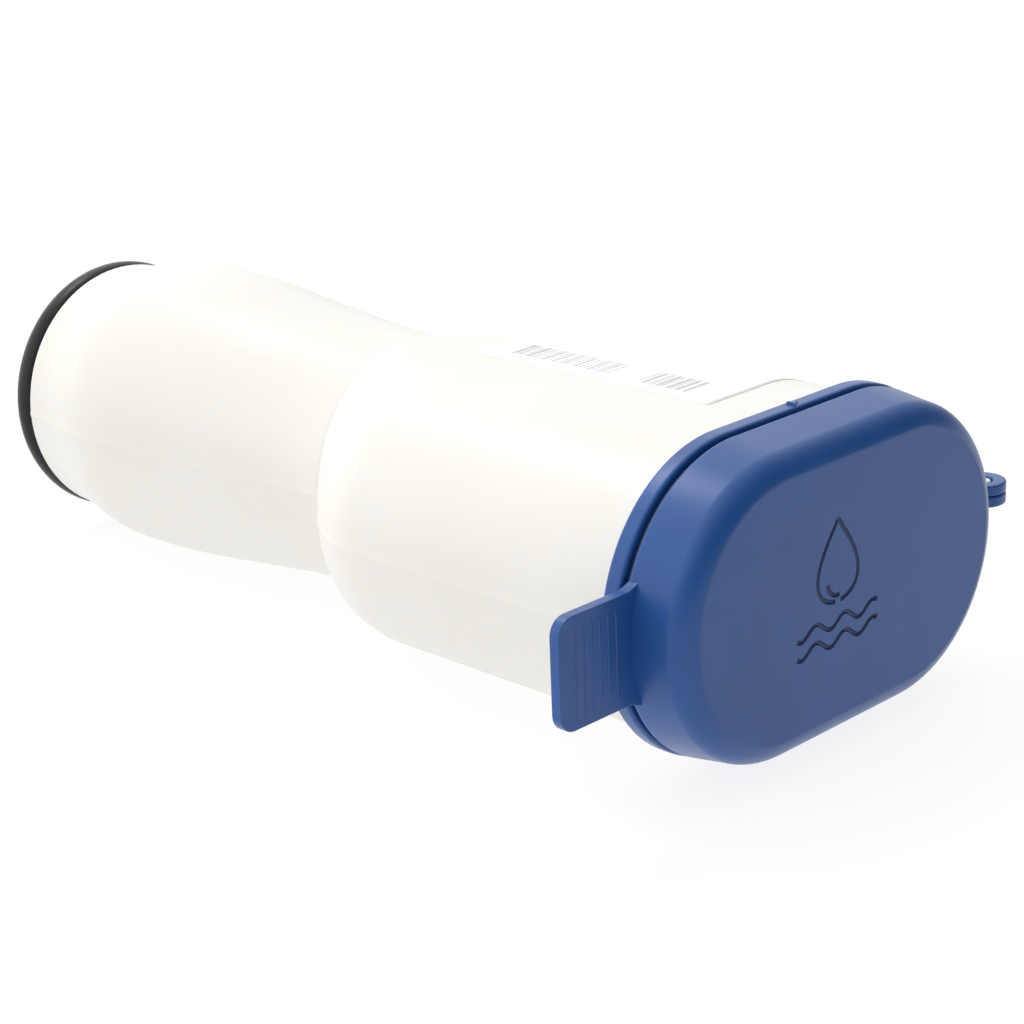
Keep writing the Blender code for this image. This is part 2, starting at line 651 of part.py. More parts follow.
def make_handle():
    swivel = pivot("handle_swivel_pivot", 0.0, CUP_FRONT_Y)
    floor_y = 206.0
    rear_y = 225.0
    cup_profile = [
        (2.2, floor_y),
        (23.4, floor_y),
        (23.4, rear_y),
        (27.4, rear_y),
        (27.4, RING_FRONT_Y),
        (CUP_RADIUS, RING_FRONT_Y),
        (CUP_RADIUS, CUP_FRONT_Y),
        (2.2, CUP_FRONT_Y),
    ]
    cup = turned("pump_handle", "black_plastic", cup_profile, parent=swivel)
    join(cup, block("finger_bar", None, (-24.6, 214.5, -4.0), (24.6, 223.5, 4.0), bevel=2.2))
    inner = 27.7
    thickness = LENGTH - RING_FRONT_Y
    corner = 2.0
    grip = [(inner, LENGTH)]
    for i in range(4):
        angle = math.pi / 2 * i / 3
        grip.append((RING_RADIUS - corner * (1 - math.sin(angle)), LENGTH - corner * (1 - math.cos(angle))))
    for i in range(4):
        angle = math.pi / 2 * i / 3
        y = LENGTH - thickness + corner * (1 - math.sin(angle))
        grip.append((RING_RADIUS - corner * (1 - math.cos(angle)), y))
    grip.append((inner, RING_FRONT_Y))
    turned("grip_ring", "black_rubber", grip, parent=swivel)
    screw = [(0.0, 209.0), (4.2, 209.0), (4.2, 206.3), (1.6, 206.3), (1.6, 191.0), (0.0, 191.0)]
    turned("handle_screw", "steel", screw, parent=swivel, steps=DRILL_STEPS)


make_housing()
make_collar()
make_lid()
make_deck()
make_cartridge_cap()
make_cartridge()
make_valves()
make_pump_barrel()
make_piston()
make_handle()
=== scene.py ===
"""Looks for the pump water filter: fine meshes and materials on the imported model, and its studio.

Sizes are in millimetres in the housing's own frame: x towards the lid's hinge, y from the lid's face to the
rear end, z up from the axis. place() turns a point of it into world metres.
"""

import json
import math
import random

import bmesh
import bpy
from mathutils import Matrix, Vector


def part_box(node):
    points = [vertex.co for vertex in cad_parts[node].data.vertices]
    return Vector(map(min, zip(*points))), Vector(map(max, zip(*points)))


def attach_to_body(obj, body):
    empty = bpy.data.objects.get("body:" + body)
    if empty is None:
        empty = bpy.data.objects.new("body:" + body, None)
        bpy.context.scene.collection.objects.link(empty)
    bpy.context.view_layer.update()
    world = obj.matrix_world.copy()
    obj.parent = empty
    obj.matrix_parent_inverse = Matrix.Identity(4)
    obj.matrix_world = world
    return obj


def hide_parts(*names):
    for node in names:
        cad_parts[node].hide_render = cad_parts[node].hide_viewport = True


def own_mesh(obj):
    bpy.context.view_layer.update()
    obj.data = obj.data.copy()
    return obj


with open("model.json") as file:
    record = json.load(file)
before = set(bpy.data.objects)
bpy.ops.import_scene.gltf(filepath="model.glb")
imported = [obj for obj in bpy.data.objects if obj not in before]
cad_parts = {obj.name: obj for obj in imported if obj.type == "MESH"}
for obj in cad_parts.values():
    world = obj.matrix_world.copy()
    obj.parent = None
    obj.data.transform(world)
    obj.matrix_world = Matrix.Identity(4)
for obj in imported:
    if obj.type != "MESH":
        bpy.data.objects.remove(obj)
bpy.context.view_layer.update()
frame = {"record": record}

MM = 0.001
FRONT_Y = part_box("lid")[0].y
AXIS_Z = sum(corner.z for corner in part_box("grip_ring")) / 2
BODY_OF = {node: body for body, nodes in frame["record"]["behaviour"]["bodies"].items() for node in nodes}


def span(node):
    """Front and rear end of a node along the housing."""
    low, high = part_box(node)
    return (low.y - FRONT_Y) / MM, (high.y - FRONT_Y) / MM


def reach(node):
    """Half of a node's width: the radius of a round one."""
    low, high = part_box(node)
    return (high.x - low.x) / 2 / MM


def half_height(node):
    low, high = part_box(node)
    return (high.z - low.z) / 2 / MM


def centre(node):
    """A node's middle, as x and z off the axis."""
    low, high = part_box(node)
    return (low.x + high.x) / 2 / MM, ((low.z + high.z) / 2 - AXIS_Z) / MM


def place(x, y, z):
    return Vector((x * MM, FRONT_Y + y * MM, AXIS_Z + z * MM))


# Sizes read from the frame

TANK_FRONT, TANK_REAR = span("tank_shell")
GRIP_REAR = span("grip_shell")[1]
BULGE_RADIUS = reach("grip_shell")
LID_REAR = 13.6
LID_RADIUS = 31.2
DECK_FRONT, DECK_REAR = span("front_deck")
HINGE_X, HINGE_Z = centre("hinge_pin")
HINGE_Y = sum(span("hinge_pin")) / 2
BARB_X = centre("outlet_barb")[0]
INLET_X = centre("inlet_seat")[0]
OUTLET_Z = centre("outlet_seat")[1]

# Sizes that the body's outline shares with the model

BULGE_Y = 194.0
WAIST_Y = 118.0
WAIST_RADIUS = 28.35
REAR_RADIUS = 29.8
TANK_RADIUS = 28.8
TANK_STRAIGHT = 18.5
LOBE_FULL_Y = 88.0
LOBE_ROUNDING = 1.18
WALL = 2.2

ROUND_STEPS = 96
SMALL_STEPS = 48
SEAM_ANGLES = (-1.5, -0.8, 0.8, 1.5)


# Materials


def shader_of(name):
    made = bpy.data.materials.new(name)
    made.use_nodes = True
    return made, made.node_tree, made.node_tree.nodes["Principled BSDF"]


def noise(tree, scale, detail=4.0, stretch=(1.0, 1.0, 1.0)):
    """A noise over the piece's own metres."""
    where = tree.nodes.new("ShaderNodeTexCoord")
    mapping = tree.nodes.new("ShaderNodeMapping")
    mapping.inputs["Scale"].default_value = stretch
    texture = tree.nodes.new("ShaderNodeTexNoise")
    texture.inputs["Scale"].default_value = scale
    texture.inputs["Detail"].default_value = detail
    tree.links.new(where.outputs["Object"], mapping.inputs["Vector"])
    tree.links.new(mapping.outputs["Vector"], texture.inputs["Vector"])
    return texture.outputs["Fac"]


def cells(tree, scale):
    """Distance to the nearest of many scattered points: grains or pores."""
    where = tree.nodes.new("ShaderNodeTexCoord")
    texture = tree.nodes.new("ShaderNodeTexVoronoi")
    texture.inputs["Scale"].default_value = scale
    tree.links.new(where.outputs["Object"], texture.inputs["Vector"])
    return texture.outputs["Distance"]


def ramp(tree, value, low, high, socket):
    """Drives a number on the shader from low to high as value runs over its whole range."""
    spread = tree.nodes.new("ShaderNodeMapRange")
    spread.clamp = False
    spread.inputs["To Min"].default_value = low
    spread.inputs["To Max"].default_value = high
    tree.links.new(value, spread.inputs["Value"])
    tree.links.new(spread.outputs["Result"], socket)


def tint(tree, value, first, second, socket, start=0.35, end=0.65):
    colours = tree.nodes.new("ShaderNodeValToRGB")
    colours.color_ramp.elements[0].color = (*first, 1.0)
    colours.color_ramp.elements[0].position = start
    colours.color_ramp.elements[1].color = (*second, 1.0)
    colours.color_ramp.elements[1].position = end
    tree.links.new(value, colours.inputs["Fac"])
    tree.links.new(colours.outputs["Color"], socket)


def relief(tree, value, shader, depth, strength=1.0):
    bump = tree.nodes.new("ShaderNodeBump")
    bump.inputs["Distance"].default_value = depth * MM
    bump.inputs["Strength"].default_value = strength
    tree.links.new(value, bump.inputs["Height"])
    tree.links.new(bump.outputs["Normal"], shader.inputs["Normal"])


def moulded(name, first, second, roughness, gloss=0.5, coat=0.0, grain=0.008, scale=60.0):
    """Moulded plastic or rubber: slow colour drift, uneven gloss and a fine grain."""
    made, tree, shader = shader_of(name)
    shader.inputs["Specular IOR Level"].default_value = gloss
    shader.inputs["Coat Weight"].default_value = coat
    shader.inputs["Coat Roughness"].default_value = 0.3
    tint(tree, noise(tree, scale), first, second, shader.inputs["Base Color"])
    ramp(tree, noise(tree, scale * 3), roughness - 0.05, roughness + 0.08, shader.inputs["Roughness"])
    relief(tree, noise(tree, 700.0, 2.0), shader, grain)
    return made


def milky_plastic():
    made, tree, shader = shader_of("milky_plastic")
    tint(tree, noise(tree, 25.0), (0.78, 0.76, 0.705), (0.81, 0.79, 0.74), shader.inputs["Base Color"])
    ramp(tree, noise(tree, 90.0), 0.28, 0.42, shader.inputs["Roughness"])
    relief(tree, noise(tree, 45.0, 2.0), shader, 0.12, 0.5)
    shader.inputs["Subsurface Weight"].default_value = 0.2
    shader.inputs["Subsurface Radius"].default_value = (1.0, 0.85, 0.6)
    shader.inputs["Subsurface Scale"].default_value = 0.004
    shader.inputs["IOR"].default_value = 1.5
    return made


def silicone():
    made, tree, shader = shader_of("silicone")
    tint(tree, noise(tree, 80.0), (0.74, 0.78, 0.79), (0.82, 0.85, 0.85), shader.inputs["Base Color"])
    ramp(tree, noise(tree, 200.0), 0.28, 0.45, shader.inputs["Roughness"])
    shader.inputs["Transmission Weight"].default_value = 0.6
    shader.inputs["IOR"].default_value = 1.41
    return made


def granular(name, first, second, roughness, scale, depth):
    made, tree, shader = shader_of(name)
    grain = cells(tree, scale)
    tint(tree, grain, first, second, shader.inputs["Base Color"], 0.1, 0.7)
    ramp(tree, noise(tree, 150.0), roughness - 0.1, roughness + 0.04, shader.inputs["Roughness"])
    relief(tree, grain, shader, depth)
    return made


def steel():
    made, tree, shader = shader_of("steel")
    brushed = noise(tree, 300.0, 3.0, (1.0, 12.0, 1.0))
    tint(tree, brushed, (0.55, 0.56, 0.58), (0.68, 0.69, 0.70), shader.inputs["Base Color"])
    ramp(tree, brushed, 0.28, 0.42, shader.inputs["Roughness"])
    relief(tree, brushed, shader, 0.01, 0.4)
    shader.inputs["Metallic"].default_value = 1.0
    return made


BLUE = moulded("blue_plastic", (0.011, 0.071, 0.265), (0.014, 0.079, 0.29), 0.35, 0.3, 0.25)
# A darker blue for the faces cut by the lid's mark: painted shade in the grooves, not a colour of the
# plastic.
BLUE_GROOVE_SHADE = moulded("blue_groove_shade", (0.014, 0.034, 0.12), (0.018, 0.040, 0.135), 0.5)
MILKY = milky_plastic()
WHITE = moulded("white_plastic", (0.80, 0.79, 0.76), (0.86, 0.85, 0.82), 0.38)
BLACK_RING = moulded("ring_rubber", (0.006, 0.0065, 0.0065), (0.010, 0.011, 0.011), 0.34, 0.3)
BLACK = moulded("black_plastic", (0.016, 0.017, 0.018), (0.024, 0.025, 0.026), 0.42)
GREY = moulded("grey_plastic", (0.28, 0.30, 0.32), (0.34, 0.36, 0.38), 0.42)
SEAL = moulded("seal_rubber", (0.012, 0.016, 0.03), (0.02, 0.026, 0.045), 0.55)
FILM = moulded("label_film", (0.93, 0.93, 0.93), (0.96, 0.96, 0.96), 0.45)
INK = moulded("label_ink", (0.50, 0.50, 0.52), (0.58, 0.58, 0.60), 0.5)
CERAMIC = granular("ceramic", (0.80, 0.77, 0.70), (0.88, 0.86, 0.80), 0.85, 900.0, 0.08)
CARBON = granular("carbon", (0.012, 0.012, 0.012), (0.035, 0.035, 0.036), 0.8, 1200.0, 0.2)
FOAM = granular("foam", (0.09, 0.11, 0.13), (0.26, 0.29, 0.32), 0.95, 1400.0, 0.4)
SILICONE = silicone()
STEEL = steel()


# Shapes


def outline(radius, straight, steps, seam=0.0):
    """Points (x, z) round two half circles, each its distance straight from the axis.

    A seam is a low ridge at mid-height on both sides.
    """
    half = [180.0 * i / (steps // 2) - 90.0 for i in range(steps // 2 + 1)]
    half = sorted(half + [a for a in SEAM_ANGLES if seam])
    points = []
    for side, turn in ((1, 0.0), (-1, 180.0)):
        for angle in half:
            a = math.radians(angle + turn)
            r = radius + (seam if abs(angle) < SEAM_ANGLES[-1] else 0.0)
            points.append((side * straight + r * math.cos(a), r * math.sin(a)))
    return points


def ring(inner, outer, front, rear):
    return [(inner, rear), (outer, rear), (outer, front), (inner, front)]


def rounded(profile, radius, steps=3):
    """The profile with its corners drawn as arcs. A corner on the axis stays."""
    made = []
    for i, corner in enumerate(profile):
        here, before, after = Vector(corner), Vector(profile[i - 1]), Vector(profile[(i + 1) % len(profile)])
        if here.x == 0.0:
            made.append(tuple(here))
            continue
        back, ahead = before - here, after - here
        cut = min(radius, 0.45 * back.length, 0.45 * ahead.length)
        start, end = here + back.normalized() * cut, here + ahead.normalized() * cut
        for k in range(steps + 1):
            t = k / steps
            made.append(tuple(start * (1 - t) ** 2 + here * (2 * t * (1 - t)) + end * t**2))
    return made


def finish_mesh(bm, name, tidy=True):
    if tidy:
        bmesh.ops.remove_doubles(bm, verts=bm.verts, dist=0.0005)
        bmesh.ops.recalc_face_normals(bm, faces=bm.faces)
    bm.transform(Matrix.Scale(MM, 4))
    mesh = bpy.data.meshes.new(name)
    bm.to_mesh(mesh)
    bm.free()
    mesh.shade_smooth()
    mesh.set_sharp_from_angle(angle=math.radians(40))
    return mesh


def link(name, data, finish, x=0.0, z=0.0, y=0.0):
    obj = bpy.data.objects.new(name, data)
    obj.location = place(x, y, z)
    data.materials.append(finish)
    bpy.context.scene.collection.objects.link(obj)
    return obj


def swept(name, finish, rows, x=0.0, z=0.0, steps=ROUND_STEPS, seam=0.0):
    """A closed skin through rows of (radius, y, straight); rows that start on the axis also end on it."""
    bm = bmesh.new()
    loops = [[bm.verts.new((px, y, pz)) for px, pz in outline(r, s, steps, seam)] for r, y, s in rows]
    pairs = list(zip(loops, loops[1:]))
    if rows[0][0] > 0.0:
        pairs.append((loops[-1], loops[0]))
    for near, far in pairs:
        for i in range(len(near)):
            j = (i + 1) % len(near)
            bm.faces.new((near[i], far[i], far[j], near[j]))
    return link(name, finish_mesh(bm, name), finish, x, z)


def turned(name, finish, profile, rounding=0.25, x=0.0, z=0.0, steps=ROUND_STEPS):
    rows = [(r, y, 0.0) for r, y in rounded(profile, rounding)]
    return swept(name, finish, rows, x, z, steps)


def sharpen_normals(obj):
    """Lets the big flat faces keep flat shading beside the small rounded ones."""
    step = obj.modifiers.new("Normals", "WEIGHTED_NORMAL")
    step.keep_sharp = True
    step.weight = 90


def bevel(obj, width, segments=3, angle=35):
    step = obj.modifiers.new("Rounding", "BEVEL")
    step.width = width * MM
    step.segments = segments
    step.limit_method = "ANGLE"
    step.angle_limit = math.radians(angle)


def plate(name, finish, outer, front, rear, holes=(), rounding=0.25):
    """A flat piece across the housing with rounded edges."""
    curve = bpy.data.curves.new(name + "_outline", "CURVE")
    curve.dimensions = "2D"
    curve.fill_mode = "BOTH"
    curve.extrude = (rear - front) / 2
    for points in (outer, *holes):
        spline = curve.splines.new("POLY")
        spline.points.add(len(points) - 1)
        for point, (px, pz) in zip(spline.points, points):
            point.co = (px, pz, 0.0, 1.0)
        spline.use_cyclic_u = True
    drawn = bpy.data.objects.new(name + "_outline", curve)
    bpy.context.scene.collection.objects.link(drawn)
    graph = bpy.context.evaluated_depsgraph_get()
    flat = bpy.data.meshes.new_from_object(drawn.evaluated_get(graph))
    bpy.data.objects.remove(drawn)
    bm = bmesh.new()
    bm.from_mesh(flat)
    bm.transform(Matrix.Translation((0.0, (front + rear) / 2, 0.0)) @ Matrix.Rotation(math.pi / 2, 4, "X"))
    obj = link(name, finish_mesh(bm, name), finish)
    bevel(obj, rounding, 2)
    sharpen_normals(obj)
    return obj


def circle(radius, x=0.0, z=0.0, steps=SMALL_STEPS):
    angles = [2 * math.pi * i / steps for i in range(steps)]
    return [(x + radius * math.cos(a), z + radius * math.sin(a)) for a in angles]


def stadium(node, steps=ROUND_STEPS):
    radius = half_height(node)
    return outline(radius, reach(node) - radius, steps)


def block(name, finish, low, high, rounding=0.0, segments=3):
    bm = bmesh.new()
    middle = [(a + b) / 2 for a, b in zip(low, high)]
    sides = [b - a for a, b in zip(low, high)]
    bmesh.ops.create_cube(bm, size=1.0, matrix=Matrix.Translation(middle) @ Matrix.Diagonal((*sides, 1.0)))
    obj = link(name, finish_mesh(bm, name, tidy=False), finish)
    if rounding:
        bevel(obj, rounding, segments)
    return obj


def upright(name, finish, radius, bottom, top, rounding=0.0):
    """A cylinder on the lid's hinge axis."""
    bm = bmesh.new()
    bmesh.ops.create_cone(bm, cap_ends=True, segments=SMALL_STEPS, radius1=radius, radius2=radius,
                          depth=top - bottom)
    obj = link(name, finish_mesh(bm, name, tidy=False), finish, HINGE_X, (bottom + top) / 2, HINGE_Y)
    if rounding:
        bevel(obj, rounding, 3)
    return obj


def tube(name, finish, points, radius, sides=3, x=0.0, z=0.0):
    """A round wire through points, as a mesh."""
    curve = bpy.data.curves.new(name + "_line", "CURVE")
    curve.dimensions = "3D"
    curve.bevel_depth = radius
    curve.bevel_resolution = sides
    curve.use_fill_caps = True
    spline = curve.splines.new("POLY")
    spline.points.add(len(points) - 1)
    for point, co in zip(spline.points, points):
        point.co = (*co, 1.0)
    drawn = bpy.data.objects.new(name + "_line", curve)
    bpy.context.scene.collection.objects.link(drawn)
    graph = bpy.context.evaluated_depsgraph_get()
    wire = bpy.data.meshes.new_from_object(drawn.evaluated_get(graph))
    bpy.data.objects.remove(drawn)
    bm = bmesh.new()
    bm.from_mesh(wire)
    return link(name, finish_mesh(bm, name), finish, x, z)


def combine(obj, other, operation):
    """Joins or cuts at once, and removes the other shape."""
    step = obj.modifiers.new("Boolean", "BOOLEAN")
    step.operation = operation
    step.solver = "EXACT"
    step.object = other
    step.material_mode = "TRANSFER"
    graph = bpy.context.evaluated_depsgraph_get()
    made = bpy.data.meshes.new_from_object(obj.evaluated_get(graph))
    obj.modifiers.clear()
    obj.data = made
    bpy.data.objects.remove(other)
    made.shade_smooth()
    made.set_sharp_from_angle(angle=math.radians(40))


def attach(obj, other):
    """Adds the other shape, which overlaps this one, to its mesh."""
    graph = bpy.context.evaluated_depsgraph_get()
    more = bpy.data.meshes.new_from_object(other.evaluated_get(graph))
    more.transform(obj.matrix_basis.inverted() @ other.matrix_basis)
    bm = bmesh.new()
    bm.from_mesh(obj.data)
    bm.from_mesh(more)
    bm.to_mesh(obj.data)
    bm.free()
    bpy.data.objects.remove(other)
    obj.data.shade_smooth()
    obj.data.set_sharp_from_angle(angle=math.radians(40))


def stands_for(obj, *nodes):
    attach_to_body(obj, BODY_OF[nodes[0]])
    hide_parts(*nodes)


# Housing


def body_radius(y):
    """Outer half-height: nearly level along the tank, a waist, the grip's round bulge, then its rear rim."""
    if y <= WAIST_Y:
        return WAIST_RADIUS + (TANK_RADIUS - WAIST_RADIUS) * (WAIST_Y - y) / (WAIST_Y - TANK_FRONT)
    if y <= BULGE_Y:
        swell = math.sin(math.pi / 2 * (y - WAIST_Y) / (BULGE_Y - WAIST_Y)) ** 2
        return WAIST_RADIUS + (BULGE_RADIUS - WAIST_RADIUS) * swell
    fall = math.cos(math.pi / 2 * (y - BULGE_Y) / (GRIP_REAR - BULGE_Y)) ** 2
    return REAR_RADIUS + (BULGE_RADIUS - REAR_RADIUS) * fall


def body_straight(y):
    """How far the section's half circles stand off the axis."""
    along = (y - LOBE_FULL_Y) / (TANK_REAR - LOBE_FULL_Y)
    if along <= 0.0:
        return TANK_STRAIGHT
    return TANK_STRAIGHT * max(0.0, 1.0 - along**2) ** LOBE_ROUNDING


def evenly(first, last, count):
    return [first + (last - first) * i / count for i in range(count + 1)]


def make_tank():
    shoulder = [LOBE_FULL_Y + (TANK_REAR - LOBE_FULL_Y) * math.sin(math.pi / 2 * i / 28) for i in range(29)]
    stations = evenly(TANK_FRONT, LOBE_FULL_Y, 30)[:-1] + shoulder
    outer = [(body_radius(y), y, body_straight(y)) for y in stations]
    inner = [(TANK_REAR, 0.0)]
    inner += [(y, body_straight(min(y + WALL, TANK_REAR)))
              for y in reversed(stations) if y < TANK_REAR - WALL]
    rows = outer + [(body_radius(y) - WALL, y, straight) for y, straight in inner]
    stands_for(swept("tank_wall", MILKY, rows, seam=0.14), "tank_shell")


def make_grip():
    front, rear = span("grip_shell")
    shoulder = TANK_REAR + 0.02
    outer = [(body_radius(y), y) for y in reversed(evenly(shoulder, rear - 0.5, 60))]
    rim = [(REAR_RADIUS - 1.7, rear), (REAR_RADIUS - 0.5, rear), (REAR_RADIUS - 0.1, rear - 0.2)]
    spigot = [(25.6, shoulder), (25.6, front), (24.0, front), (24.0, shoulder + WALL)]
    inner = [(body_radius(y) - WALL, y) for y in evenly(shoulder + 4.0, rear, 20)]
    rows = [(r, y, 0.0) for r, y in rim + outer + spigot + inner]
    stands_for(swept("grip_wall", MILKY, rows, seam=0.14), "grip_shell")


def sticker_rows(front, rear, near_x, far_arc, lift):
    """Points of a sheet on the tank's top, from x = near_x over its edge."""
    rows = []
    for y in evenly(front, rear, 32):
        radius, straight = body_radius(y) + lift, body_straight(y)
        line = [(x, radius) for x in evenly(near_x, straight, 8)]
        for angle in evenly(0.0, far_arc, 16)[1:]:
            line.append((straight + radius * math.sin(angle), radius * math.cos(angle)))
        rows.append([(x, y, z) for x, z in line])
    return rows


def make_label():
    front, rear = span("label")
    bm = bmesh.new()
    rows = [[bm.verts.new(p) for p in line]
            for line in sticker_rows(front, rear, 0.0, math.radians(24), 0.005)]
    for first, second in zip(rows, rows[1:]):
        for i in range(len(first) - 1):
            bm.faces.new((first[i], first[i + 1], second[i + 1], second[i]))
    film = link("label_film", finish_mesh(bm, "label_film", tidy=False), FILM)
    thickness = film.modifiers.new("Thickness", "SOLIDIFY")
    thickness.thickness = 0.035 * MM
    thickness.offset = 1.0
    stands_for(film, "label")
    bars = link("label_bars", bar_mesh(), INK)
    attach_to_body(bars, "housing")


def bar_mesh():
    """Plain bars of mixed widths in two groups. They stand for a printed code and encode nothing."""
    draw = random.Random(11)
    bm = bmesh.new()
    for first, last, low_x, high_x in ((44.0, 57.6, 3.9, 11.8), (65.5, 92.0, 4.6, 12.0)):
        y = first
        while y < last:
            width = draw.choice((0.35, 0.35, 0.7, 1.05))
            middle = ((low_x + high_x) / 2, y + width / 2, body_radius(y) + 0.05)
            shape = Matrix.Translation(middle) @ Matrix.Diagonal((high_x - low_x, width, 0.04, 1.0))
            bmesh.ops.create_cube(bm, size=1.0, matrix=shape)
            y += width + draw.choice((0.4, 0.6, 0.9))
    return finish_mesh(bm, "label_bars", tidy=False)


# Front end


def make_collar():
    flange, front, rear = half_height("front_collar"), 14.7, 18.4
    neck_front, sleeve_rear = span("front_collar")
    neck, sleeve, mouth = 27.3, TANK_RADIUS - WALL - 0.3, 24.9
    profile = [(neck, neck_front), (neck, front), (flange, front), (flange, rear), (sleeve, rear)]
    profile += [(sleeve, sleeve_rear), (mouth, sleeve_rear), (mouth, neck_front)]
    soft = []
    for i, corner in enumerate(profile):
        radius = {2: 0.9, 3: 0.7}.get(i, 0.35)
        soft += rounded([profile[i - 1], corner, profile[(i + 1) % len(profile)]], radius, 5)[6:12]
    rows = [(r, y, TANK_STRAIGHT) for r, y in soft]
    collar = swept("collar_ring", BLUE, rows)
    add_hinge_eye(collar, "front_collar", (48.7, front + 0.2), (HINGE_X - 3.0, rear - 0.2))
    attach(collar, guide_mark(flange, front, rear))
    sharpen_normals(collar)
    stands_for(collar, "front_collar")


def add_hinge_eye(obj, node, arm_start, arm_end):
    """An eye round the hinge pin and the arm that carries it. Arms run between two (x, y) corners."""
    bottom, top = hinge_layers(node)
    inset = 0.12
    arm = block("arm", BLUE, (*arm_start, bottom + inset), (*arm_end, top - inset), 0.5)
    attach(obj, arm)
    bm = bmesh.new()
    angles = evenly(0.0, 2 * math.pi, SMALL_STEPS)[:-1]
    profile = rounded([(2.25, bottom), (5.0, bottom), (5.0, top), (2.25, top)], 0.5, 4)
    loops = [[bm.verts.new((r * math.cos(a), r * math.sin(a), z)) for a in angles] for r, z in profile]
    for near, far in zip(loops, loops[1:] + loops[:1]):
        for i in range(len(near)):
            j = (i + 1) % len(near)
            bm.faces.new((near[i], near[j], far[j], far[i]))
    attach(obj, link("eye", finish_mesh(bm, "eye"), BLUE, HINGE_X, 0.0, HINGE_Y))


def hinge_layers(node):
    """Bottom and top of the eye that this node carries: the lid's is the upper one."""
    low, high = (corner.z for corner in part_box("hinge_pin"))
    bottom, top = (low - AXIS_Z) / MM - 0.2, (high - AXIS_Z) / MM + 0.2
    middle = (bottom + top) / 2
    return (middle + 0.05, top) if node == "lid" else (bottom, middle - 0.05)


def guide_mark(radius, front, rear):
    """The small raised triangle on the flange's top that shows where the lid closes."""
    bm = bmesh.new()
    bmesh.ops.create_cone(bm, cap_ends=True, segments=3, radius1=1.5, radius2=1.2, depth=1.0)
    bm.transform(Matrix.Translation((3.0, (front + rear) / 2 - 0.2, radius))
                 @ Matrix.Rotation(math.pi / 6, 4, "Z"))
    return link("guide", finish_mesh(bm, "guide", tidy=False), BLUE)


def tab_outline(half, centre_z):
    """The pull tab's outline, with rounded outer corners and a slight flare where it meets the lid."""
    corner, flare, root_radius = 3.5, 1.6, LID_RADIUS - 1.2
    outer_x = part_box("lid")[0].x / MM
    points = []
    for z in evenly(0.0, half + flare, 6)[1:]:
        points.append((-TANK_STRAIGHT - math.sqrt(root_radius**2 - z**2), z))
    flare_x = points[-1][0]
    for angle in evenly(0.0, math.pi / 2, 6)[1:]:
        points.append((flare_x - 4.6 * math.sin(angle), half + flare * (1 - math.sin(angle)) ** 1.5))
    for angle in evenly(0.0, math.pi / 2, 6):
        points.append((outer_x + corner * (1 - math.sin(angle)), half - corner * (1 - math.cos(angle))))
    points += [(x, -z) for x, z in reversed(points)]
    return [(x, z + centre_z) for x, z in points]


def lid_profile():
    """The cup's outer side from its face to the rim, then its inner side back."""
    rounding, draft, start = 4.8, 1.2, math.radians(18)
    shoulder = LID_RADIUS - draft
    outer = []
    for a in evenly(start, math.pi / 2, 12):
        inset = rounding * (1 - math.sin(a)) / (1 - math.sin(start))
        outer.append((shoulder - inset, rounding * (1 - math.cos(a) / math.cos(start))))
    outer += [(LID_RADIUS - 0.1, LID_REAR - 0.9), (LID_RADIUS - 0.15, LID_REAR - 0.3),
              (LID_RADIUS - 0.5, LID_REAR)]
    inner = [(LID_RADIUS - WALL, LID_REAR)]
    for a in evenly(0.0, math.pi / 2, 6):
        inner.append((shoulder - WALL - 3.0 * (1 - math.cos(a)), WALL + 3.0 * (1 - math.sin(a))))
    return outer, inner


def make_lid():
    outer, inner = lid_profile()
    bm = bmesh.new()
    loops = []
    for r, y in outer + inner:
        loops.append([bm.verts.new((x, y, z)) for x, z in outline(r, TANK_STRAIGHT, ROUND_STEPS)])
    for near, far in zip(loops, loops[1:]):
        for i in range(len(near)):
            j = (i + 1) % len(near)
            bm.faces.new((near[i], far[i], far[j], near[j]))
    bm.faces.new(loops[0])
    bm.faces.new(loops[-1])
    lid = link("lid_cup", finish_mesh(bm, "lid_cup"), BLUE)
    # The cutters carry the darker blue into the groove faces as painted shade.
    lid.data.materials.append(BLUE_GROOVE_SHADE)
    for stroke in mark_strokes(-4.4, 1.6):
        groove = tube("groove", BLUE_GROOVE_SHADE, [(x, 0.0, z) for x, z in stroke], 0.48, 4)
        combine(lid, groove, "DIFFERENCE")
    add_tab(lid)
    add_hinge_eye(lid, "lid", (48.2, LID_REAR - 2.4), (HINGE_X - 3.0, LID_REAR))
    sharpen_normals(lid)
    stands_for(lid, "lid")


def add_tab(lid):
    """The pull tab, and the fine upright ribs on its front."""
    half, centre_z, thickness = 10.8, -0.3, 2.2
    first_rib, rib_pitch, rib_radius = -63.9, 2.15, 0.45
    attach(lid, plate("tab", BLUE, tab_outline(half, centre_z),
                      LID_REAR - thickness, LID_REAR, rounding=0.85))
    for i in range(6):
        x = first_rib + rib_pitch * i
        line = [(x, LID_REAR - thickness + 0.34, z) for z in (centre_z - half + 1.8, centre_z + half - 2.4)]
        attach(lid, tube("rib", BLUE, line, rib_radius))


def mark_strokes(x, z):
    """A plain water drop over two waves, as open lines round the point (x, z)."""
    half_width, half_length, lift = 8.4, 8.2, 4.6
    strokes = []
    for side in (-1, 1):
        half_drop = []
        for t in evenly(0.06, math.pi - 0.09, 24):
            width = half_width * math.sin(t) * math.sin(t / 2) ** 1.3
            half_drop.append((x + side * width, z + lift + half_length * math.cos(t)))
        strokes.append(half_drop)
    strokes.append([(x + 3.2 * math.cos(a), z + 0.8 + 3.2 * math.sin(a)) for a in evenly(3.3, 4.87, 8)])
    for level in (-7.6, -11.2):
        strokes.append([(x + s, z + level + 1.1 * math.sin(s * 0.72)) for s in evenly(-12.2, 12.2, 40)])
    return strokes


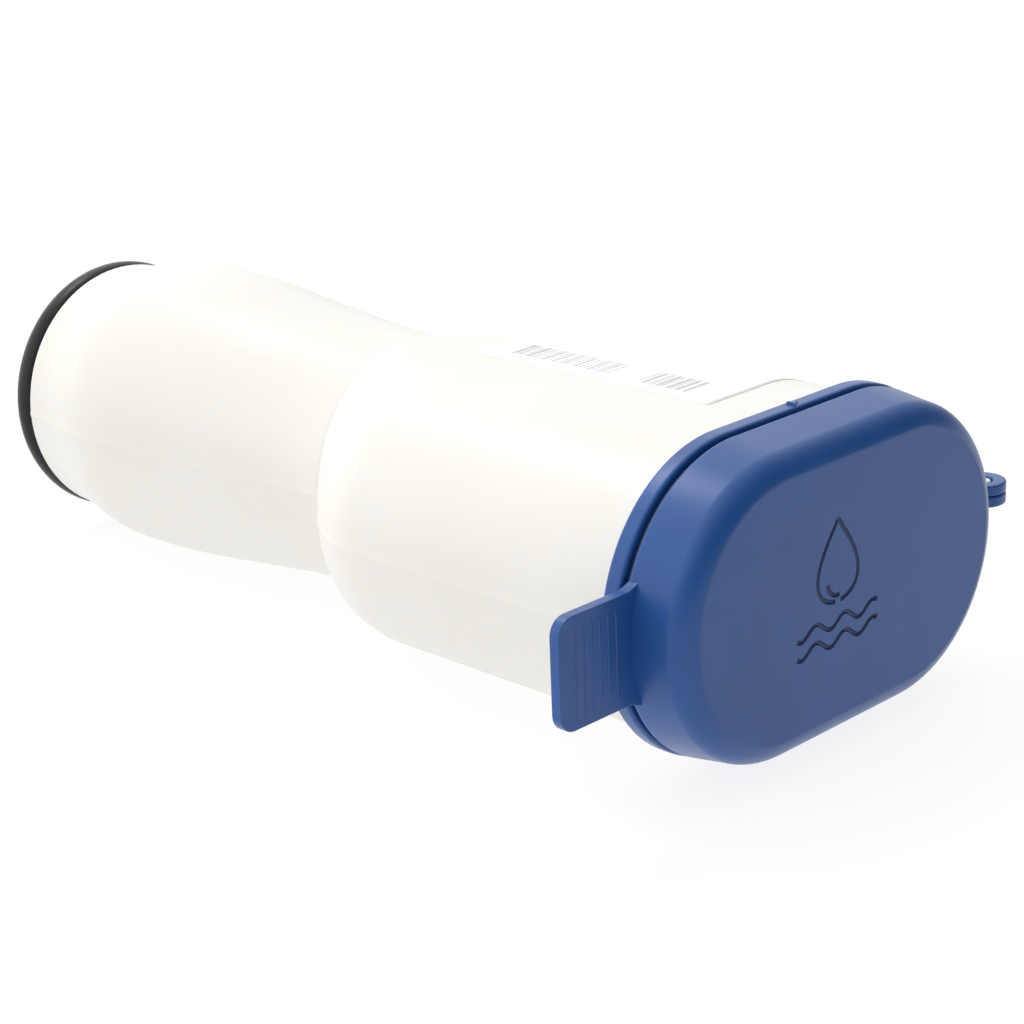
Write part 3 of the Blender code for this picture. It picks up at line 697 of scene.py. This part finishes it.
def make_hinge_and_seal():
    front, rear = span("lid_seal")
    outer = half_height("lid_seal")
    rows = [(r, y, TANK_STRAIGHT) for r, y in rounded(ring(27.9, outer, front, rear), 0.2)]
    stands_for(swept("seal_ring", SEAL, rows), "lid_seal")
    low, high = (corner.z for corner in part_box("hinge_pin"))
    pin = upright("pin", STEEL, reach("hinge_pin"), (low - AXIS_Z) / MM, (high - AXIS_Z) / MM, 0.3)
    stands_for(pin, "hinge_pin")


def barb_profile(front, rear):
    """A hose barb: three ridges, a flange against the deck and a shank through it."""
    points = [(1.6, rear), (3.4, rear), (3.4, DECK_FRONT - 0.3), (5.5, DECK_FRONT - 0.3),
              (5.5, 23.5), (2.6, 23.5)]
    for ridge in (19.0, 15.0, 11.0):
        points += [(2.6, ridge), (3.4, ridge), (2.6, ridge - 3.4)]
    return points + [(2.4, front), (1.6, front)]


def make_deck():
    holes = [circle(21.6, steps=ROUND_STEPS), circle(3.7, -BARB_X), circle(3.7, BARB_X)]
    deck = plate("deck_plate", WHITE, stadium("front_deck"), DECK_FRONT, DECK_REAR, holes)
    for x, tip in ((-BARB_X, 1), (BARB_X, -1)):
        arrow = plate("arrow", WHITE, flow_arrow(x, tip), DECK_FRONT - 0.5, DECK_FRONT + 0.5, rounding=0.15)
        combine(deck, arrow, "UNION")
    sharpen_normals(deck)
    stands_for(deck, "front_deck")
    for node in ("intake_barb", "outlet_barb"):
        x, z = centre(node)
        barb = turned(node + "_fitting", GREY, barb_profile(*span(node)), 0.2, x, z, SMALL_STEPS)
        stands_for(barb, node)
    front, rear = span("outlet_dust_cap")
    outer = reach("outlet_dust_cap")
    cap = [(0.0, front + 1.1), (3.7, front + 1.1), (3.7, rear), (outer, rear), (outer, rear - 1.2)]
    cap += [(outer - 0.4, rear - 1.6), (outer - 0.4, front + 0.4), (outer - 1.0, front), (0.0, front)]
    stands_for(turned("dust_cap", BLUE, cap, 0.4, BARB_X, 0.0, SMALL_STEPS), "outlet_dust_cap")


def flow_arrow(x, tip):
    """A raised arrow head beside a barb, pointing the way the water goes."""
    z = 10.5
    return [(x - 2.2, z - 1.6 * tip), (x + 2.2, z - 1.6 * tip), (x, z + 2.4 * tip)][::tip]


# Filter cartridge

SIMPLE_RINGS = (
    ("rear_liner", "liner_sleeve", WHITE, 1.3, 0.25),
    ("bowl_front_seal", "bowl_front_ring", SEAL, 1.6, 0.6),
    ("bowl_rear_seal", "bowl_rear_ring", SEAL, 1.6, 0.6),
    ("filter_bowl", "bowl_wall", WHITE, 1.8, 0.3),
    ("ceramic_element", "ceramic_sleeve", CERAMIC, 8.0, 0.5),
    ("carbon_core", "carbon_sleeve", CARBON, 5.6, 0.4),
    ("foam_prefilter", "foam_sleeve", FOAM, 1.6, 0.5),
    ("nipple_seal", "nipple_ring", SEAL, 2.5, 0.9),
    ("intake_tube", "intake_pipe", SILICONE, 1.2, 0.2),
    ("outlet_tube", "outlet_pipe", SILICONE, 1.2, 0.2),
    ("inlet_seat", "inlet_seat_ring", SEAL, 2.1, 0.4),
    ("outlet_seat", "outlet_seat_ring", SEAL, 2.1, 0.4),
    ("rod_wiper", "wiper_ring", SEAL, 3.2, 0.7),
    ("piston_seal_front", "piston_ring_front", SEAL, 2.05, 0.8),
    ("piston_seal_rear", "piston_ring_rear", SEAL, 2.05, 0.8),
    ("cap_seal", "cap_ring", SEAL, 2.0, 0.7),
)


def make_simple_rings():
    for node, name, finish, wall, rounding in SIMPLE_RINGS:
        outer = reach(node)
        x, z = centre(node)
        steps = ROUND_STEPS if outer > 12.0 else SMALL_STEPS
        piece = turned(name, finish, ring(outer - wall, outer, *span(node)), rounding, x, z, steps)
        stands_for(piece, node)


def make_cartridge():
    front, rear = span("cartridge_front_cap")
    outer = reach("cartridge_front_cap")
    cup = [(0.0, rear - 2.0), (outer - 1.3, rear - 2.0), (outer - 1.3, rear), (outer, rear),
           (outer, front), (0.0, front)]
    stands_for(turned("cartridge_front_cup", BLUE, cup, 0.5), "cartridge_front_cap")
    front, rear = span("cartridge_rear_cap")
    bore = reach("core_tube") + 0.3
    cup = [(bore, rear), (outer, rear), (outer, front), (outer - 1.3, front),
           (outer - 1.3, front + 2.0), (bore, front + 2.0)]
    stands_for(turned("cartridge_rear_cup", BLUE, cup, 0.5), "cartridge_rear_cap")
    outer = reach("core_tube")
    core = turned("core_pipe", GREY, ring(outer - 1.4, outer, *span("core_tube")), 0.2, steps=SMALL_STEPS)
    for y in (48.0, 60.0, 72.0):
        combine(core, block("slot", GREY, (-10.0, y, -1.2), (10.0, y + 7.0, 1.2)), "DIFFERENCE")
    stands_for(core, "core_tube")


def make_cartridge_cap():
    front, rear = span("cartridge_cap")
    flange_front, plug, flange = 23.4, 21.3, reach("cartridge_cap")
    profile = [(0.0, rear), (plug, rear), (plug, 33.6), (20.2, 33.6), (20.2, 31.4), (plug, 31.4)]
    profile += [(plug, DECK_FRONT - 0.3), (flange, DECK_FRONT - 0.3), (flange, flange_front),
                (0.0, flange_front)]
    cap = turned("cap_disc", GREY, profile, 0.5)
    combine(cap, block("bar", GREY, (-17.0, front, -3.0), (17.0, flange_front + 0.6, 3.0), 1.2), "UNION")
    for i in range(24):
        angle = 2 * math.pi * i / 24
        x, z = (flange - 1.6) * math.cos(angle), (flange - 1.6) * math.sin(angle)
        notch = tube("notch", GREY, [(x, flange_front - 1.0, z), (x, flange_front + 0.35, z)], 0.55)
        combine(cap, notch, "DIFFERENCE")
    sharpen_normals(cap)
    stands_for(cap, "cartridge_cap")


# Valves


def make_valve_plates():
    ports = [circle(2.4, INLET_X), circle(2.4, 0.0, OUTLET_Z)]
    chambers = [circle(4.6, INLET_X), circle(4.6, 0.0, OUTLET_Z)]
    sockets = [circle(3.7, -BARB_X), circle(3.7, BARB_X), circle(5.2), circle(2.4, 0.0, OUTLET_Z)]
    front, rear = span("valve_manifold")
    manifold = plate("manifold_plate", GREY, stadium("valve_manifold"), front, rear, sockets)
    for low_x, high_x in ((-BARB_X, INLET_X + 2.4), (0.0, BARB_X)):
        channel = block("channel", GREY, (low_x, rear - 2.4, -2.4), (high_x, rear + 2.0, 2.4))
        combine(manifold, channel, "DIFFERENCE")
    stands_for(manifold, "valve_manifold")
    front, rear = span("manifold_gasket")
    gasket = plate("gasket_sheet", SEAL, stadium("manifold_gasket"), front, rear, ports, 0.15)
    stands_for(gasket, "manifold_gasket")
    front, rear = span("valve_block")
    body = plate("valve_body", GREY, circle(23.4, steps=ROUND_STEPS), front, rear, chambers, 0.4)
    attach(body, plate("wings", GREY, stadium("valve_block"), front + 0.05, front + 2.0, chambers))
    stands_for(body, "valve_block")
    front, rear = span("barrel_head")
    head = plate("head_plate", GREY, circle(reach("barrel_head"), steps=ROUND_STEPS), front, rear, ports)
    stands_for(head, "barrel_head")


def helix(front, rear, radius, wire, turns, per_turn=28):
    """A spring's line: a dead turn at each end and open turns between."""
    points = []
    total = turns + 1.5
    for i in range(int(total * per_turn) + 1):
        angle = 2 * math.pi * i / per_turn
        share = min(1.0, max(0.0, (i / per_turn - 0.75) / turns))
        y = front + wire + 2.2 * wire * min(1.0, i / per_turn / 0.75) * 0.5
        y += (rear - front - 4.2 * wire) * share
        y += 2.2 * wire * 0.5 * max(0.0, (i / per_turn - 0.75 - turns) / 0.75)
        points.append((radius * math.cos(angle), y, radius * math.sin(angle)))
    return points


def make_valves():
    for side in ("inlet", "outlet"):
        x, z = centre(side + "_poppet")
        front, rear = span(side + "_poppet")
        disc_front, disc_rear = (front, front + 1.2) if side == "inlet" else (rear - 1.2, rear)
        disc = reach(side + "_poppet")
        if side == "inlet":
            profile = [(0.0, rear), (1.2, rear), (1.2, disc_rear), (disc, disc_rear),
                       (disc, disc_front), (0.0, front)]
        else:
            profile = [(0.0, rear), (disc, rear), (disc, disc_front), (1.2, disc_front),
                       (1.2, front), (0.0, front)]
        stands_for(turned(side + "_valve_disc", BLACK, profile, 0.3, x, z, SMALL_STEPS), side + "_poppet")
        front, rear = span(side + "_spring")
        spring = tube(side + "_coil", STEEL, helix(front, rear, 2.6, 0.3, 3.5), 0.28, 2, x=x, z=z)
        stands_for(spring, side + "_spring")
        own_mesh(spring)


# Pump


def cross_head_screw(name, node, head_radius, shank_radius, head_front, thread_pitch=0.8):
    """A screw with a domed head at the rear, a cross recess in it and a ridged shank."""
    front, rear = span(node)
    x, z = centre(node)
    profile = [(0.0, rear), (head_radius * 0.8, rear - 0.25), (head_radius, rear - 1.0),
               (head_radius, head_front)]
    y = head_front - 0.6
    profile += [(shank_radius, head_front), (shank_radius, y)]
    while y - thread_pitch > front + 1.0:
        profile += [(shank_radius * 0.84, y - thread_pitch / 2), (shank_radius, y - thread_pitch)]
        y -= thread_pitch
    profile += [(shank_radius * 0.8, front + 0.6), (shank_radius * 0.4, front), (0.0, front)]
    screw = turned(name, STEEL, profile, 0.12, x, z, SMALL_STEPS)
    arm, width = head_radius * 0.6, head_radius * 0.11
    for wide, high in ((arm, width), (width, arm)):
        slot = block("slot", STEEL, (x - wide, rear - 1.1, z - high), (x + wide, rear + 1.0, z + high))
        combine(screw, slot, "DIFFERENCE")
    stands_for(screw, node)


def make_barrel():
    front, rear = span("pump_barrel")
    bore, wall, flange = 16.0, 18.0, reach("pump_barrel")
    profile = [(bore, rear), (flange, rear), (flange, rear - 4.0), (wall, rear - 4.0),
               (wall, front), (bore, front)]
    barrel = turned("barrel_tube", GREY, profile, 0.4)
    screws = [f"bulkhead_screw_{i}" for i in (1, 2, 3)]
    for node in screws:
        x, z = centre(node)
        hole = tube("hole", GREY, [(x, rear - 12.0, z), (x, rear + 8.0, z)], 1.8, 6)
        combine(barrel, hole, "DIFFERENCE")
    stands_for(barrel, "pump_barrel")
    front, rear = span("rear_bulkhead")
    holes = [circle(8.0)] + [circle(1.8, *centre(node)) for node in screws]
    disc = plate("bulkhead_disc", GREY, circle(reach("rear_bulkhead"), steps=ROUND_STEPS),
                 front, rear, holes, 0.4)
    stands_for(disc, "rear_bulkhead")
    for node in screws:
        cross_head_screw(node.replace("bulkhead", "rear"), node, 3.0, 1.5, rear + 0.3)
    front, rear = span("rod_gland")
    gland = [(4.3, rear), (10.0, rear), (10.0, rear - 2.6), (7.7, rear - 2.6), (7.7, front), (4.3, front)]
    stands_for(turned("gland_bush", BLACK, gland, 0.5, steps=SMALL_STEPS), "rod_gland")


def make_piston():
    front, rear = span("piston_rod")
    shoulder = span("piston")[1] + 0.3
    rod_radius = reach("piston_rod")
    rod = [(0.0, 190.0), (1.9, 190.0), (1.9, rear), (rod_radius, rear),
           (rod_radius, shoulder), (2.3, shoulder)]
    rod += [(2.3, front), (0.0, front)]
    stands_for(turned("rod_bar", STEEL, rod, 0.35, steps=SMALL_STEPS), "piston_rod")
    front, rear = span("piston")
    outer = reach("piston")
    profile = [(2.6, rear), (outer, rear)]
    for top in (rear - 1.4, rear - 5.8):
        profile += [(outer, top), (outer - 2.0, top), (outer - 2.0, top - 2.4), (outer, top - 2.4)]
    profile += [(outer, front), (2.6, front)]
    stands_for(turned("piston_disc", BLACK, profile, 0.25), "piston")
    front, rear = span("piston_nut")
    nut = plate("rod_nut", STEEL, circle(reach("piston_nut"), steps=6), front, rear, [circle(2.5)], 0.3)
    stands_for(nut, "piston_nut")


def make_handle():
    front, rear = span("pump_handle")
    ring_front = span("grip_ring")[0]
    cup, rim, recess, floor = 25.5, reach("pump_handle"), 23.4, 206.0
    profile = [(2.2, floor), (recess, floor), (recess, rear), (rim, rear),
               (rim, ring_front), (cup, ring_front)]
    profile += [(cup, front), (2.2, front)]
    handle = turned("handle_cup", BLACK, profile, 0.7)
    bar = block("bar", BLACK, (-24.6, 214.5, -4.0), (24.6, 223.5, 4.0), 2.4, 5)
    combine(handle, bar, "UNION")
    sharpen_normals(handle)
    stands_for(handle, "pump_handle")
    cross_head_screw("handle_bolt", "handle_screw", 4.2, 1.6, 206.3)
    inner, outer = rim + 0.25, reach("grip_ring")
    front, rear = span("grip_ring")
    depth = rear - front
    profile = [(inner, rear), (inner, front), (outer - 1.9, front)]
    for i in range(1, 16):
        angle = math.pi * i / 16
        profile.append((outer - 1.9 * (1 - math.sin(angle)), front + depth / 2 * (1 - math.cos(angle))))
    profile.append((outer - 1.9, rear))
    rows = [(r, y, 0.0) for r, y in reversed(profile)]
    stands_for(swept("rear_ring", BLACK_RING, rows, steps=144), "grip_ring")


# Scene


def make_floor():
    bpy.ops.mesh.primitive_plane_add(size=12.0, location=(0.0, 0.0, -0.0002))
    floor = bpy.context.object
    floor.name = "floor"
    made, _, shader = shader_of("floor")
    shader.inputs["Base Color"].default_value = (0.16, 0.16, 0.16, 1.0)
    shader.inputs["Roughness"].default_value = 1.0
    shader.inputs["Specular IOR Level"].default_value = 0.0
    shader.inputs["Emission Color"].default_value = (1.0, 1.0, 1.0, 1.0)
    shader.inputs["Emission Strength"].default_value = 0.86
    floor.data.materials.append(made)


def area_light(name, towards, distance, size, power):
    """A soft light that shines on the object from a direction."""
    data = bpy.data.lights.new(name, "AREA")
    data.size = size
    data.energy = power
    lamp = bpy.data.objects.new(name, data)
    direction = Vector(towards).normalized()
    lamp.location = direction * distance + Vector((0.0, 0.0, AXIS_Z))
    lamp.rotation_euler = direction.to_track_quat("Z", "Y").to_euler()
    bpy.context.scene.collection.objects.link(lamp)


def make_light():
    """A pale room, brightest overhead and behind on the left, dimmer by the lid, and one soft lamp."""
    world = bpy.data.worlds.new("studio")
    world.use_nodes = True
    tree = world.node_tree
    where = tree.nodes.new("ShaderNodeTexCoord")
    facing = tree.nodes.new("ShaderNodeVectorMath")
    facing.operation = "DOT_PRODUCT"
    facing.inputs[1].default_value = Vector((-0.26, 0.76, 0.55)).normalized()
    tree.links.new(where.outputs["Generated"], facing.inputs[0])
    spread = tree.nodes.new("ShaderNodeMapRange")
    spread.interpolation_type = "SMOOTHSTEP"
    spread.inputs["From Min"].default_value = -0.55
    spread.inputs["From Max"].default_value = 0.8
    spread.inputs["To Min"].default_value = 0.05
    spread.inputs["To Max"].default_value = 1.48
    tree.links.new(facing.outputs["Value"], spread.inputs["Value"])
    tree.links.new(spread.outputs["Result"], tree.nodes["Background"].inputs["Strength"])
    tree.nodes["Background"].inputs["Color"].default_value = (1.0, 1.0, 1.0, 1.0)
    bpy.context.scene.world = world
    bpy.context.scene.view_settings.view_transform = "Standard"
    area_light("key", (0.02, 0.47, 0.88), 1.1, 0.3, 2.4)


def make_camera():
    """Looks from the lid's left, a little above, at the lens and tilt that give the reference view."""
    azimuth, elevation, roll = math.radians(-45.03), math.radians(19.08), math.radians(-2.28)
    back = Vector((math.sin(azimuth) * math.cos(elevation), -math.cos(azimuth) * math.cos(elevation),
                   math.sin(elevation)))
    right = Vector((math.cos(azimuth), math.sin(azimuth), 0.0))
    up = back.cross(right)
    tilted_right = right * math.cos(roll) + up * math.sin(roll)
    tilted_up = up * math.cos(roll) - right * math.sin(roll)
    data = bpy.data.cameras.new("camera")
    data.lens = 90.07
    data.sensor_width = 36.0
    data.clip_start = 0.01
    camera = bpy.data.objects.new("camera", data)
    rotation = Matrix((tilted_right, tilted_up, back)).transposed()
    camera.matrix_world = Matrix.Translation(place(-362.0, -272.3, 172.1)) @ rotation.to_4x4()
    bpy.context.scene.collection.objects.link(camera)
    bpy.context.scene.camera = camera


make_camera()
make_light()
make_floor()
make_tank()
make_grip()
make_label()
make_collar()
make_lid()
make_hinge_and_seal()
make_deck()
make_simple_rings()
make_cartridge()
make_cartridge_cap()
make_valve_plates()
make_valves()
make_barrel()
make_piston()
make_handle()
